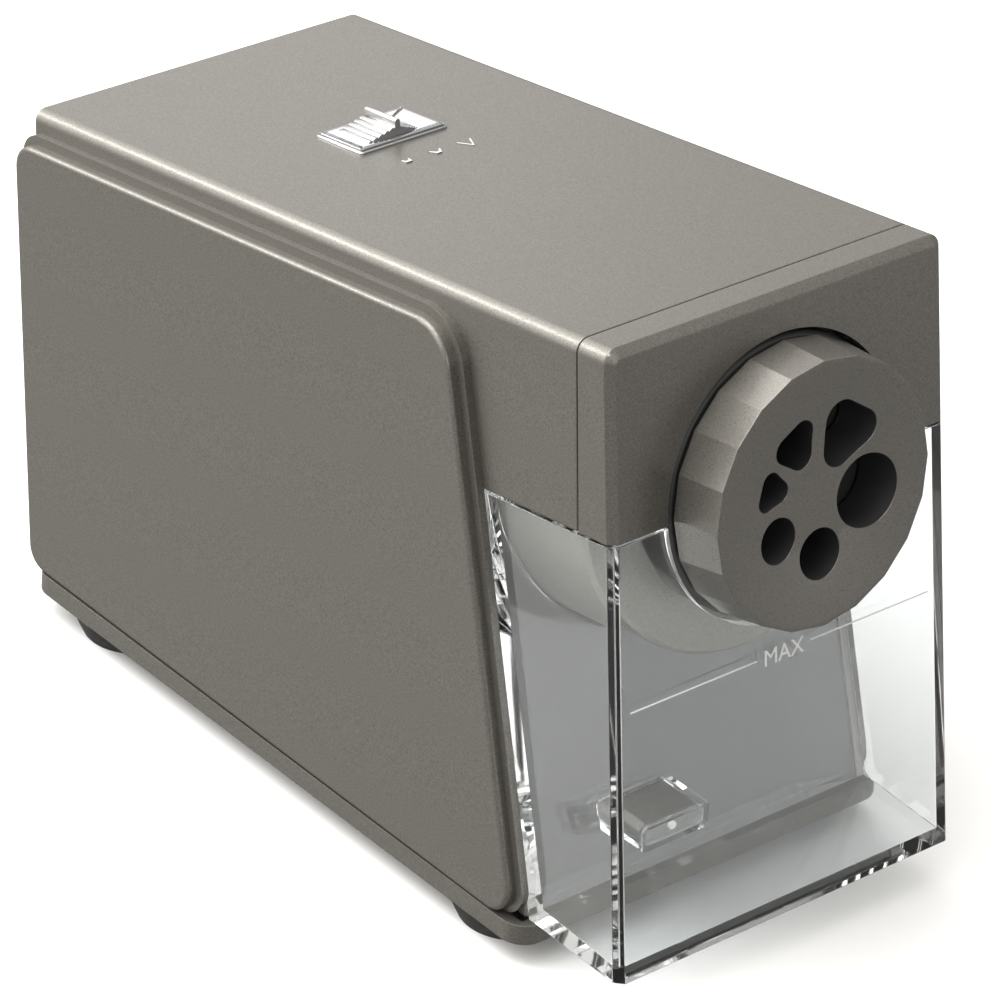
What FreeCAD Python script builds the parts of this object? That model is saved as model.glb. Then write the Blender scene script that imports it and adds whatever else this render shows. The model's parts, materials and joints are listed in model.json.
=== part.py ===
# Electric desk pencil sharpener: tapered housing on a level base, six-hole selector dial,
# clear shavings drawer, single helical cutter in a turning carrier, geared motor.
#
# Most pieces are laid out in the housing's own frame: X to the right, Y backwards from the
# front face, Z up, with the origin at the front edge of the flat top. The housing leans back
# by "tilt" on its level base, so each finished piece gets one common placement. Pieces that
# lie level (base, feet, interlock) are laid out from the base plane instead.

import FreeCAD, Part
import math
import os
import re
import Sketcher
from FreeCAD import Placement, Rotation, Vector

doc = FreeCAD.newDocument("pencil_sharpener")
sheet = doc.addObject("Spreadsheet::Sheet", "sizes")

driving_sizes = [
    # housing
    ("width", 80.0), ("length", 164.3), ("front_height", 125.8), ("tilt", 9.06),
    ("draft", 0.0144), ("rake", 0.0166), ("rear_rake", 0.02), ("wall", 2.4),
    ("split_depth", 36.0), ("bezel_depth", 8.6), ("seam", 0.3), ("top_round", 2.6),
    ("front_chamfer", 1.6), ("slant_start", 40.5), ("slant_lean", 0.147),
    ("cover_lift", 4.6), ("piece_gap", 0.4),
    # side panels
    ("panel_proud", 3.8), ("panel_drop", 6.0), ("panel_round", 9.0), ("panel_corner", 5.0),
    ("panel_edge", 0.9), ("panel_tail", 2.0), ("flange_proud", 1.6), ("flange_out", 1.8),
    # base and feet
    ("strip_height", 4.2), ("base_floor", 2.2), ("base_wall", 2.6), ("base_corner", 5.0),
    ("base_inset", 0.4), ("base_lip", 1.2), ("foot_radius", 11.4), ("foot_height", 4.8),
    ("foot_recess", 1.0), ("foot_spread", 33.5), ("foot_front", 37.0), ("foot_rear", 150.0),
    ("boss_height", 6.4), ("boss_radius", 3.6), ("screw_radius", 1.4), ("screw_head", 3.0),
    # shavings bin
    ("bin_wall", 2.6), ("bin_lift", 4.6), ("bin_setback", 0.8), ("rim_gap", 0.4),
    ("socket_half", 8.1), ("socket_high", 2.8), ("socket_reach", 11.0), ("socket_side", 15.5),
    ("socket_height", 19.6), ("socket_wall", 1.0), ("socket_round", 1.2), ("plunger_radius", 0.8),
    # dial and guide
    ("dial_radius", 26.3), ("dial_taper", 4.4), ("dial_thick", 10.4), ("dial_gap", 0.6),
    ("dial_drop", 35.0), ("dial_sides", 20.0), ("dish_radius", 22.0), ("dish_depth", 1.3),
    ("dial_clear", 1.1), ("guide_proud", 0.3), ("guide_front", 0.4), ("detent_half", 4.0),
    ("spigot_radius", 19.9), ("hub_radius", 2.6), ("hole_pitch", 11.8), ("guide_hole", 7.5),
    # cutter housing
    ("hood_room", 1.5), ("hood_wall", 2.2), ("hood_front", 10.0), ("hood_back", 54.4),
    ("hood_gap", 0.9), ("bulkhead", 2.0), ("chute_half", 13.0),
    # cutter and carrier
    ("module", 0.8), ("ring_teeth", 44.0), ("pinion_teeth", 14.0), ("cone_slope", 0.23),
    ("point_place", 49.37), ("spindle_radius", 1.5), ("ring_mid", 19.5), ("ring_wall", 2.04),
    ("carrier_front", 23.0), ("carrier_back", 50.9), ("disc_thick", 2.5),
    ("carrier_radius", 15.0), ("shaft_radius", 4.0), ("pencil_bore", 6.2),
    ("running_gap", 0.06), ("cutter_middle", 38.0),
    # gear train and motor
    ("drive_teeth", 56.0), ("small_teeth", 16.0), ("large_teeth", 48.0), ("motor_teeth", 12.0),
    ("idler_angle", 251.2), ("motor_angle", -14.3), ("plate_front", 54.6),
    ("plate_thick", 2.4), ("plate_half", 34.0), ("bracket_front", 70.0),
    ("motor_radius", 19.0), ("motor_length", 46.0), ("can_wall", 1.0), ("bell_length", 6.0),
    ("armature_radius", 14.4), ("magnet_thick", 2.6), ("motor_shaft", 1.2),
    # point adjuster
    ("slot_half", 8.8), ("slot_width", 10.0), ("frame_lip", 1.9), ("frame_rise", 0.9),
    ("slider_place", 109.0), ("slider_travel", 2.2), ("stop_travel", 1.6),
    ("knob_length", 14.8), ("knob_end", 0.5), ("knob_ridge", 2.3), ("crest_side", 1.3),
    ("crest_half", 0.6), ("crest_rise", 4.0), ("stop_radius", 1.45), ("yoke_place", 99.0),
    ("mark_pitch", 7.1), ("mark_place", 94.6), ("mark_side", 0.7), ("mark_line", 0.36),
    ("mark_rise", 0.25),
    # start switch
    ("rail_thick", 1.8), ("switch_high", 20.0), ("switch_deep", 9.6), ("lever_pin", 1.0),
    ("lever_reach", 15.0),
    # circuit board
    ("board_side", 30.0), ("board_thick", 1.6), ("board_front", 78.0), ("board_length", 50.0),
    ("board_drop", 40.0), ("board_high", 48.0), ("rail_reach", 2.0),
    # rear inlet and vents
    ("inlet_side", 18.0), ("inlet_drop", 74.0), ("inlet_half", 11.0), ("inlet_high", 7.0),
    ("inlet_deep", 16.0), ("pin_spread", 4.3), ("vent_count", 9.0), ("vent_pitch", 5.2),
    ("vent_width", 2.2), ("vent_top", 18.0), ("vent_low", 46.0),
    # where the origin lies: centre of the footprint, set once the model is measured
    ("back_shift", 0.0),
]
for row, (alias, value) in enumerate(driving_sizes, start=1):
    sheet.set("A%d" % row, alias)
    sheet.set("B%d" % row, str(value))
    sheet.setAlias("B%d" % row, alias)
doc.recompute()

names = re.compile(r"\b(" + "|".join(alias for alias, value in driving_sizes) + r")\b")


def bind(text):
    """An expression written with plain size names, as FreeCAD wants it."""
    return names.sub(r"sizes.\1", str(text))


def number(text):
    """The present value of such an expression."""
    return float(sheet.evalExpression(bind(text)))


def tie(thing, prop, text):
    thing.setExpression(prop, bind(text))


# ---------------------------------------------------------------- lines of the housing
def half(depth):
    """Half the housing's width at a depth below the top."""
    return "(width/2+draft*(%s))" % depth


def floor_at(y, lift="0"):
    """Height of the base plane, or of a plane parallel to it, at a distance back."""
    return "(tan(tilt)*(%s)-front_height+(%s))" % (y, lift)


def slant(z):
    """Distance back of the leaning edge behind the bin, at a height z."""
    return "(slant_start+slant_lean*(%s))" % z


def toe(lift):
    """Where the leaning edge meets a plane parallel to the base."""
    return "((slant_start+slant_lean*((%s)-front_height))/(1-slant_lean*tan(tilt)))" % lift


# ---------------------------------------------------------------- drawing helpers
nodes = {}
normal_sign = {"XY": 1, "YZ": 1, "XZ": -1}


def draw(sketch, outlines):
    """Draws polygons (lists of x, y pairs), circles ((x, y, radius)) and shapes with round
    corners ({"centres": pairs, "radius": text}), and ties them down."""
    for outline in outlines:
        if isinstance(outline, dict):
            draw_round(sketch, outline["centres"], outline["radius"])
            continue
        if isinstance(outline, tuple):
            x, y, radius = outline
            centre = Vector(number(x), number(y), 0)
            index = sketch.addGeometry(Part.Circle(centre, Vector(0, 0, 1), number(radius)), False)
            pin_point(sketch, index, 3, x, y, centre)
            mark = sketch.addConstraint(Sketcher.Constraint("Radius", index, number(radius)))
            tie(sketch, "Constraints[%d]" % mark, radius)
            continue
        corners = [Vector(number(x), number(y), 0) for x, y in outline]
        first = sketch.GeometryCount
        count = len(corners)
        for i in range(count):
            sketch.addGeometry(Part.LineSegment(corners[i], corners[(i + 1) % count]), False)
        for i in range(count):
            nxt = first + (i + 1) % count
            sketch.addConstraint(Sketcher.Constraint("Coincident", first + i, 2, nxt, 1))
        for i, (x, y) in enumerate(outline):
            pin_point(sketch, first + i, 1, x, y, corners[i])


def draw_round(sketch, places, radius):
    """Arcs about the given centres, counter-clockwise, joined by their outer tangents."""
    size = number(radius)
    centres = [Vector(number(x), number(y), 0) for x, y in places]
    count = len(centres)
    headings = []
    for i in range(count):
        run = centres[(i + 1) % count] - centres[i]
        headings.append(math.atan2(run.y, run.x) - math.pi / 2)
    first = sketch.GeometryCount
    for i in range(count):
        start = headings[i - 1]
        stop = headings[i]
        while stop < start:
            stop += 2 * math.pi
        circle = Part.Circle(centres[i], Vector(0, 0, 1), size)
        sketch.addGeometry(Part.ArcOfCircle(circle, start, stop), False)
    for i in range(count):
        out = Vector(math.cos(headings[i]), math.sin(headings[i]), 0) * size
        sketch.addGeometry(Part.LineSegment(centres[i] + out, centres[(i + 1) % count] + out), False)
    for i, (x, y) in enumerate(places):
        arc = first + i
        line = first + count + i
        pin_point(sketch, arc, 3, x, y, centres[i])
        mark = sketch.addConstraint(Sketcher.Constraint("Radius", arc, size))
        tie(sketch, "Constraints[%d]" % mark, radius)
        sketch.addConstraint(Sketcher.Constraint("Tangent", arc, 2, line, 1))
        sketch.addConstraint(Sketcher.Constraint("Tangent", line, 2, first + (i + 1) % count, 1))


def pin_point(sketch, index, end, x, y, at):
    for kind, text, value in (("DistanceX", x, at.x), ("DistanceY", y, at.y)):
        mark = sketch.addConstraint(Sketcher.Constraint(kind, -1, 1, index, end, value))
        tie(sketch, "Constraints[%d]" % mark, text)


def new_sketch(body, plane, level, outlines):
    sketch = body.newObject("Sketcher::SketchObject", body.Name + "_sketch")
    role = plane + "_Plane"
    origin = [f for f in body.Origin.OriginFeatures if f.Role == role][0]
    sketch.AttachmentSupport = [(origin, "")]
    sketch.MapMode = "FlatFace"
    tie(sketch, "AttachmentOffset.Base.z", "%d*(%s)" % (normal_sign[plane], level))
    draw(sketch, outlines)
    return sketch


def new_body(name):
    return doc.addObject("PartDesign::Body", name)


def pad(body, plane, outlines, low, high, taper=None):
    """Adds material between two levels along the plane's axis."""
    start = high if plane == "XZ" else low
    sketch = new_sketch(body, plane, start, outlines)
    feature = body.newObject("PartDesign::Pad", body.Name + "_pad")
    feature.Profile = sketch
    tie(feature, "Length", "(%s)-(%s)" % (high, low))
    if taper:
        tie(feature, "TaperAngle", taper)
    return feature


def pocket(body, plane, outlines, low, high):
    """Removes material between two levels along the plane's axis."""
    start = low if plane == "XZ" else high
    sketch = new_sketch(body, plane, start, outlines)
    feature = body.newObject("PartDesign::Pocket", body.Name + "_pocket")
    feature.Profile = sketch
    tie(feature, "Length", "(%s)-(%s)" % (high, low))
    return feature


def turn(body, outline, plane="XY", groove=False):
    """Turns an outline of (radius, along) pairs about the sketch's upright axis."""
    sketch = new_sketch(body, plane, "0", [outline])
    kind = "PartDesign::Groove" if groove else "PartDesign::Revolution"
    feature = body.newObject(kind, body.Name + "_turn")
    feature.Profile = sketch
    feature.ReferenceAxis = (sketch, ["V_Axis"])
    feature.Angle = 360
    return feature


def around(body, feature, count, axis="Y_Axis"):
    """Repeats a feature evenly round an axis of the body."""
    pattern = body.newObject("PartDesign::PolarPattern", body.Name + "_pattern")
    pattern.Originals = [feature]
    line = [f for f in body.Origin.OriginFeatures if f.Role == axis][0]
    pattern.Axis = (line, [""])
    pattern.Angle = 360
    tie(pattern, "Occurrences", count)
    body.Tip = pattern
    return pattern


def edge_names(shape, test):
    return ["Edge%d" % (i + 1) for i, edge in enumerate(shape.Edges) if test(edge)]


def along(edge, axis):
    """True for a straight edge that runs along an axis."""
    if len(edge.Vertexes) < 2 or not isinstance(edge.Curve, (Part.Line, Part.LineSegment)):
        return False
    direction = (edge.Vertexes[1].Point - edge.Vertexes[0].Point).normalize()
    return abs(direction.dot(axis)) > 0.999


def round_edges(body, test, radius):
    doc.recompute()
    tip = body.Tip
    feature = body.newObject("PartDesign::Fillet", body.Name + "_round")
    feature.Base = (tip, edge_names(tip.Shape, test))
    tie(feature, "Radius", radius)
    return feature


def slab(name, plane, outlines, low, high):
    body = new_body(name)
    pad(body, plane, outlines, low, high)
    return body


def box(name, x_span, y_span, z_span):
    piece = doc.addObject("Part::Box", name)
    spans = (("Length", "x", x_span), ("Width", "y", y_span), ("Height", "z", z_span))
    for prop, axis, (low, high) in spans:
        tie(piece, prop, "(%s)-(%s)" % (high, low))
        tie(piece, "Placement.Base." + axis, low)
    return piece


def rod(name, radius, x, z, y_span):
    """A cylinder along Y."""
    piece = doc.addObject("Part::Cylinder", name)
    piece.Placement = Placement(Vector(), Rotation(Vector(-1, 0, 0), 90))
    tie(piece, "Radius", radius)
    tie(piece, "Height", "(%s)-(%s)" % (y_span[1], y_span[0]))
    tie(piece, "Placement.Base.x", x)
    tie(piece, "Placement.Base.y", y_span[0])
    tie(piece, "Placement.Base.z", z)
    return piece


def fuse(name, pieces):
    piece = doc.addObject("Part::MultiFuse", name)
    piece.Shapes = pieces
    return piece


def cut(name, base, tools):
    piece = doc.addObject("Part::Cut", name)
    piece.Base = base
    piece.Tool = tools[0] if len(tools) == 1 else fuse(name + "_tools", tools)
    return piece


def common(name, base, tool):
    piece = doc.addObject("Part::Common", name)
    piece.Base = base
    piece.Tool = tool
    return piece


# ---------------------------------------------------------------- placing finished pieces
def seat(thing, y_text, z_text, x_text, rotation):
    thing.Placement = Placement(Vector(), rotation)
    tie(thing, "Placement.Base.x", x_text)
    tie(thing, "Placement.Base.y", y_text + "+back_shift")
    tie(thing, "Placement.Base.z", z_text + "+foot_height")
    thing.Label = thing.Name
    nodes[thing.Name] = thing


def lean(thing, x="0", y="0", z="0", spin=0.0, pitch=0.0):
    """Places a piece by its point in the housing's frame and leans it with the housing.
    spin turns it about its own Y axis, pitch about X, before that."""
    rotation = Rotation(Vector(1, 0, 0), -number("tilt") + pitch)
    rotation = rotation.multiply(Rotation(Vector(0, 1, 0), spin))
    y_text = "(%s)*cos(tilt)+(%s)*sin(tilt)" % (y, z)
    z_text = "(%s)*cos(tilt)-(%s)*sin(tilt)+front_height*cos(tilt)" % (z, y)
    seat(thing, y_text, z_text, x, rotation)


def level(thing, x="0", y="0", z="0"):
    """Places a level piece: y from the base's front reference, z above the base plane."""
    seat(thing, "(%s)-front_height*sin(tilt)" % y, "(%s)" % z, x, Rotation())


def level_y(y, z):
    """The level distance of a point given in the housing's frame."""
    return "((%s)*cos(tilt)+(%s)*sin(tilt)+front_height*sin(tilt))" % (y, z)


# ---------------------------------------------------------------- shared solids
def section(name, inset, top, bottom, low, high):
    """The housing's drafted cross-section between two depths, run along Y."""
    outline = [
        ("-%s+(%s)" % (half(bottom), inset), "-(%s)" % bottom),
        ("%s-(%s)" % (half(bottom), inset), "-(%s)" % bottom),
        ("%s-(%s)" % (half(top), inset), "-(%s)" % top),
        ("-%s+(%s)" % (half(top), inset), "-(%s)" % top),
    ]
    return slab(name, "XZ", [outline], low, high)


def rounded_section(name, low, high):
    body = section(name, "0", "0", "front_height", low, high)
    round_edges(body, lambda e: along(e, Vector(0, 1, 0)) and e.CenterOfMass.z > -0.1, "top_round")
    return body


def side_view(name, outline):
    return slab(name, "YZ", [outline], "-width", "width")


rear_low = "(length+rear_rake*front_height*0.75)"

# the ring gear and the cutter housing round it follow from the gear's module, and the cutter's
# radius from where its cone brings the pencil to a point
ring_root = "(module*(ring_teeth/2+1.7))"
ring_outer = "(%s+ring_wall)" % ring_root
hood_radius = "(hole_pitch+%s+hood_room+hood_wall)" % ring_outer
notch_radius = "(dial_radius+dial_clear)"
pinion_offset = "(module*(ring_teeth-pinion_teeth)/2)"
cutter_angle = "atan(cone_slope)"
cutter_radius = "((%s-cone_slope*(point_place-ring_mid))*cos(%s))" % (pinion_offset, cutter_angle)
pencil_z = "(-dial_drop-hole_pitch)"


# ---------------------------------------------------------------- housing
def make_top_cover():
    outline = [
        ("bezel_depth", "1"),
        ("length", "1"),
        (rear_low, floor_at(rear_low, "cover_lift")),
        (toe("cover_lift"), floor_at(toe("cover_lift"), "cover_lift")),
        (slant("-split_depth"), "-split_depth"),
        ("bezel_depth", "-split_depth"),
    ]
    block = common(
        "cover_block",
        rounded_section("cover_section", "bezel_depth-5", "length+10"),
        side_view("cover_side", outline),
    )
    hollow = section("cover_hollow", "wall", "wall", "front_height+20", "bezel_depth-5", "length-wall")
    slot = box(
        "slider_hole",
        ("-slot_half-frame_lip/2", "slot_half+frame_lip/2"),
        ("slider_place-slot_width/2-frame_lip/2", "slider_place+slot_width/2+frame_lip/2"),
        ("-wall-1", "1"),
    )
    inlet = box(
        "inlet_hole",
        ("-inlet_side-inlet_half", "-inlet_side+inlet_half"),
        ("length-wall-1", "length+8"),
        ("-inlet_drop-inlet_high", "-inlet_drop+inlet_high"),
    )
    vents = []
    count = int(number("vent_count"))
    for i in range(count):
        middle = "(%g*vent_pitch)" % (i - (count - 1) / 2)
        vents.append(box(
            "vent_%d" % i,
            (middle + "-vent_width/2", middle + "+vent_width/2"),
            ("length-wall-1", "length+8"),
            ("-vent_low", "-vent_top"),
        ))
    lean(cut("top_cover", block, [hollow, slot, inlet] + vents))


def make_front_bezel():
    outline = [
        ("0", "1"),
        ("-rake*split_depth", "-split_depth"),
        ("bezel_depth-seam", "-split_depth"),
        ("bezel_depth-seam", "1"),
    ]
    block = common(
        "bezel_block",
        rounded_section("bezel_section", "-10", "bezel_depth+5"),
        side_view("bezel_side", outline),
    )
    doc.recompute()
    limit = number("front_chamfer")
    bottom = -number("split_depth") + 0.01
    chamfer = doc.addObject("Part::Chamfer", "bezel_chamfered")
    chamfer.Base = block
    chamfer.Edges = [
        (i + 1, limit, limit)
        for i, edge in enumerate(block.Shape.Edges)
        if edge.BoundBox.YMax < 0.01 and edge.CenterOfMass.z > bottom
    ]
    hollow = section("bezel_hollow", "wall", "wall", "split_depth+5", "wall+piece_gap", "bezel_depth+5")
    notch = rod("bezel_notch", notch_radius, "0", "-dial_drop", ("-10", "bezel_depth+5"))
    lean(cut("front_bezel", chamfer, [hollow, notch]))


def make_side_panels():
    tail_low = "(length+panel_tail+1.6)"

    def plate(name, out, proud):
        top = "(-panel_drop+%s)" % out
        outline = [
            ("length+panel_tail", top),
            (tail_low, floor_at(tail_low, "strip_height+0.2")),
            (toe("strip_height+0.2") + "-%s" % out,
             floor_at(toe("strip_height+0.2") + "-%s" % out, "strip_height+0.2")),
            (slant(top) + "-%s" % out, top),
        ]
        body = slab(name + "_side", "YZ", [outline], "width/2-2", "width")
        cross = Vector(1, 0, 0)

        def is_upper_front(edge):
            return along(edge, cross) and edge.CenterOfMass.z > -20 and edge.CenterOfMass.y < 60

        def is_other_corner(edge):
            return along(edge, cross) and not is_upper_front(edge)

        round_edges(body, is_upper_front, "panel_round+%s" % out)
        round_edges(body, lambda e: is_other_corner(e) and e.Length > 5, "panel_corner")
        layer = [
            (half("0"), "0"),
            (half("0") + "+" + proud, "0"),
            (half("front_height") + "+" + proud, "-front_height"),
            (half("front_height"), "-front_height"),
        ]
        return common(name, body, slab(name + "_layer", "XZ", [layer], "0", "length+20"))

    face = plate("panel_face", "0", "panel_proud")
    flange = plate("panel_flange", "flange_out", "flange_proud")
    doc.recompute()
    radius = number("panel_edge")
    outer = number("width/2+panel_proud")
    draft = number("draft")
    soft = doc.addObject("Part::Fillet", "panel_softened")
    soft.Base = face
    soft.Edges = [
        (i + 1, radius, radius)
        for i, edge in enumerate(face.Shape.Edges)
        if all(abs(v.Point.x - outer + draft * v.Point.z) < 0.01 for v in edge.Vertexes)
    ]
    lean(fuse("right_side_panel", [soft, flange]))
    mirror = doc.addObject("Part::Mirroring", "left_side_panel")
    mirror.Source = nodes["right_side_panel"]
    mirror.Normal = Vector(1, 0, 0)
    mirror.Label = mirror.Name
    nodes[mirror.Name] = mirror


base_half = "(width/2+draft*front_height+panel_proud-base_inset)"
base_front = "((%s-base_lip)/cos(tilt))" % toe("0")
base_rear = "((length+panel_tail+1.2)/cos(tilt))"


def rectangle(x_half, low, high):
    return [("-" + x_half, low), (x_half, low), (x_half, high), ("-" + x_half, high)]


def screw_places():
    y_front = "(foot_front/cos(tilt))"
    y_rear = "(foot_rear/cos(tilt))"
    inner = "(foot_spread-foot_radius-boss_radius-1)"
    return [(side + inner, y) for y in (y_front, y_rear) for side in ("-", "")]


def make_base():
    body = new_body("base_tray")
    pad(body, "XY", [rectangle(base_half, base_front, base_rear)], "0", "strip_height")
    round_edges(body, lambda e: along(e, Vector(0, 0, 1)), "base_corner")
    hollow = rectangle("(%s-base_wall)" % base_half, "(%s+base_wall)" % base_front,
                       "(%s-base_wall)" % base_rear)
    pocket(body, "XY", [hollow], "base_floor", "strip_height+1")
    posts = [(x, y, "boss_radius") for x, y in screw_places()]
    for post in posts:
        pad(body, "XY", [post], "base_floor-0.5", "boss_height")
    for x, y in screw_places():
        pocket(body, "XY", [(x, y, "screw_radius+0.2")], "-1", "boss_height+1")
        pocket(body, "XY", [(x, y, "screw_head+0.3")], "-1", "1.6")
    for y in ("foot_front/cos(tilt)", "foot_rear/cos(tilt)"):
        for side in ("-", ""):
            pocket(body, "XY", [(side + "foot_spread", y, "foot_radius+0.15")], "-1", "foot_recess")
    level(body)


def make_feet():
    outline = [
        ("0", "foot_recess"),
        ("0", "-foot_height+1.4"),
        ("foot_radius-5", "-foot_height+1"),
        ("foot_radius-2.6", "-foot_height"),
        ("foot_radius-1.8", "-foot_height"),
        ("foot_radius-0.5", "-foot_height+2.6"),
        ("foot_radius", "-foot_height+4"),
        ("foot_radius", "foot_recess"),
    ]
    places = {
        "front_left_foot": ("-foot_spread", "foot_front"),
        "front_right_foot": ("foot_spread", "foot_front"),
        "rear_left_foot": ("-foot_spread", "foot_rear"),
        "rear_right_foot": ("foot_spread", "foot_rear"),
    }
    for name, (x, y) in places.items():
        body = new_body(name)
        turn(body, outline, plane="XZ")
        level(body, x, "%s/cos(tilt)" % y)


def make_base_screws():
    outline = [("0", "0"), ("screw_head", "0"), ("screw_head", "1.4"), ("screw_radius", "1.4"),
               ("screw_radius", "boss_height-0.6"), ("0", "boss_height-0.6")]
    screws = []
    for i, (x, y) in enumerate(screw_places()):
        body = new_body("base_screw_%d" % i)
        turn(body, outline, plane="XZ")
        tie(body, "Placement.Base.x", x)
        tie(body, "Placement.Base.y", y)
        screws.append(body)
    level(fuse("base_screws", screws), z="0.1")


def make_bulkhead():
    """The leaning wall behind the bin, round the cutter housing."""
    top = "(-wall-0.6)"
    low = floor_at(toe("cover_lift"), "cover_lift+0.4")
    outline = [
        (slant(top) + "+0.3", top),
        (slant(low) + "+0.3", low),
        (slant(low) + "+0.3+bulkhead", low),
        (slant(top) + "+0.3+bulkhead", top),
    ]
    block = common(
        "bulkhead_block",
        side_view("bulkhead_side", outline),
        section("bulkhead_section", "wall+0.2", "wall+0.4", "front_height", "0", "length"),
    )
    hood = rod("bulkhead_hood_hole", hood_radius + "+0.05", "0", "-dial_drop", ("0", "length"))
    post = tongue("bulkhead_post_hole", "socket_wall+0.3", "0", "60")
    lean(cut("front_bulkhead", block, [hood, post]))


def tongue(name, inset, low, high, extra=()):
    """A level bar with rounded edges on the interlock's axis, as the housing's frame sees it."""
    body = new_body(name)
    corner = "(socket_round*0.8)"
    out = "(socket_half-%s-(%s))" % (corner, inset)
    up = "(socket_high-%s-(%s))" % (corner, inset)
    centres = [("-" + out, "-" + up), (out, "-" + up), (out, up), ("-" + out, up)]
    pad(body, "XZ", [{"centres": centres, "radius": corner}] + list(extra), low, high)
    body.Placement = Placement(Vector(), Rotation(Vector(1, 0, 0), number("tilt")))
    tie(body, "Placement.Base.x", "-socket_side")
    tie(body, "Placement.Base.y", "-socket_height*sin(tilt)")
    tie(body, "Placement.Base.z", "socket_height*cos(tilt)-front_height")
    return body


# ---------------------------------------------------------------- shavings bin and interlock
socket_z = "(socket_height-front_height)"
socket_back = level_y(slant(socket_z) + "-bin_setback", socket_z)
socket_tip = "(%s-socket_reach)" % socket_back


def make_bin():
    front_low = "(-rake*(front_height-bin_lift))"

    def side(name, inset, top):
        outline = [
            ("-rake*split_depth+%s" % inset, top),
            (front_low + "+%s" % inset, floor_at(front_low, "bin_lift+%s" % inset)),
            (toe("bin_lift") + "-bin_setback-%s" % inset,
             floor_at(toe("bin_lift"), "bin_lift+%s" % inset)),
            (slant(top) + "-bin_setback-%s" % inset, top),
        ]
        return side_view(name, outline)

    block = common(
        "bin_block",
        section("bin_section", "0", "split_depth", "front_height", "-20", "slant_start"),
        side("bin_side", "0", "(-split_depth-rim_gap)"),
    )
    doc.recompute()
    limit = number("front_chamfer")
    chamfer = doc.addObject("Part::Chamfer", "bin_chamfered")
    chamfer.Base = block
    front = -number("rake*front_height")
    chamfer.Edges = [
        (i + 1, limit, limit)
        for i, edge in enumerate(block.Shape.Edges)
        if edge.BoundBox.ZLength > number("split_depth") and edge.BoundBox.YMin < front + 5
    ]
    hollow = common(
        "bin_hollow",
        section("bin_hollow_section", "bin_wall", "split_depth-5", "front_height", "-20", "slant_start"),
        side("bin_hollow_side", "bin_wall", "(-split_depth+3)"),
    )
    front_notch = rod("bin_front_notch", notch_radius, "0", "-dial_drop", ("-20", "hood_front-2"))
    rear_notch = rod("bin_rear_notch", hood_radius + "+hood_gap", "0", "-dial_drop",
                     ("hood_front-2", "length/2"))
    shell = cut("bin_shell", chamfer, [hollow, front_notch, rear_notch])
    socket = common("bin_socket", tongue("socket_outer", "0", socket_tip, socket_back + "+10"),
                    block)
    bore = tongue("socket_bore", "socket_wall", socket_tip + "+socket_wall", socket_back + "+10")
    lean(cut("shavings_bin", fuse("bin_with_socket", [shell, socket]), [bore]))


def make_interlock():
    tip = "(%s+socket_wall+1)" % socket_tip
    back = "(%s+bin_setback+0.3+bulkhead+2.5)" % socket_back
    post = tongue("interlock_post", "socket_wall+0.35", tip, back, [("0", "0", "plunger_radius+0.1")])
    level(post, "-socket_side", "0", "socket_height")
    plunger = slab("interlock_plunger", "XZ", [("0", "0", "plunger_radius")],
                   tip + "-0.6", back + "+2.4")
    level(plunger, "-socket_side", "0", "socket_height")
    outline = [(back + "+3", "-5"), (back + "+15", "-5"), (back + "+15", "5"), (back + "+3", "5")]
    level(slab("bin_switch", "YZ", [outline], "-3.2", "3.2"), "-socket_side", "0", "socket_height")


# ---------------------------------------------------------------- dial and pencil guide
# angle round the dial, and the radius of a round hole or the reach of a rounded triangle
round_holes = [(-15, 7.0), (212, 4.3), (270, 4.8)]
triangle_holes = [(56, 6.84), (118, 5.04), (163, 3.96)]


def make_dial():
    body = new_body("selector_dial")
    back = "(-dial_gap)"
    front = "(-dial_gap-dial_thick)"
    sides = int(number("dial_sides"))
    rim = "(dial_radius-dial_thick*tan(dial_taper))"
    corners = [("dial_radius*cos(%g)" % (360.0 * i / sides),
                "dial_radius*sin(%g)" % (360.0 * i / sides)) for i in range(sides)]
    pad(body, "XZ", [corners], front, back, taper="-dial_taper")
    turn(body, [("0", front + "-1"), (rim + "-1.2+1", front + "-1"), (rim + "-1.2", front),
                ("dish_radius*0.5", front + "+dish_depth"), ("0", front + "+dish_depth*1.1")],
         groove=True)
    pad(body, "XZ", [("0", "0", "hub_radius")], back + "-1", "hood_front+hood_wall+0.4")
    for angle, radius in round_holes:
        x, z = hole_place(angle)
        pocket(body, "XZ", [(x, z, str(radius))], front + "-2", back + "+2")
    for angle, reach in triangle_holes:
        pocket(body, "XZ", [triangle(angle, reach)], front + "-2", back + "+2")
    lean(body, z="-dial_drop")


def hole_place(angle):
    return "(hole_pitch*cos(%g))" % angle, "(hole_pitch*sin(%g))" % angle


def triangle(angle, reach):
    """A well rounded triangle, one corner towards the dial's middle."""
    x, z = hole_place(angle)
    out = reach * 0.47
    centres = []
    for turn_by in (0, 120, 240):
        direction = angle + 180 + turn_by
        centres.append(("%s+%g*cos(%g)" % (x, out, direction), "%s+%g*sin(%g)" % (z, out, direction)))
    return {"centres": centres, "radius": "%g" % (reach - out)}


def make_dial_fasteners():
    start = "(hood_front+hood_wall+0.4)"
    washer = new_body("dial_washer")
    turn(washer, [("0.9", start), ("4", start), ("4", start + "+0.8"), ("0.9", start + "+0.8")])
    lean(washer, z="-dial_drop")
    screw = new_body("dial_screw")
    turn(screw, [("0", start + "+0.85"), ("2.4", start + "+0.85"), ("2.4", start + "+2.2"),
                 ("1.4", start + "+2.6"), ("0", start + "+2.6")])
    lean(screw, z="-dial_drop")


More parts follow.
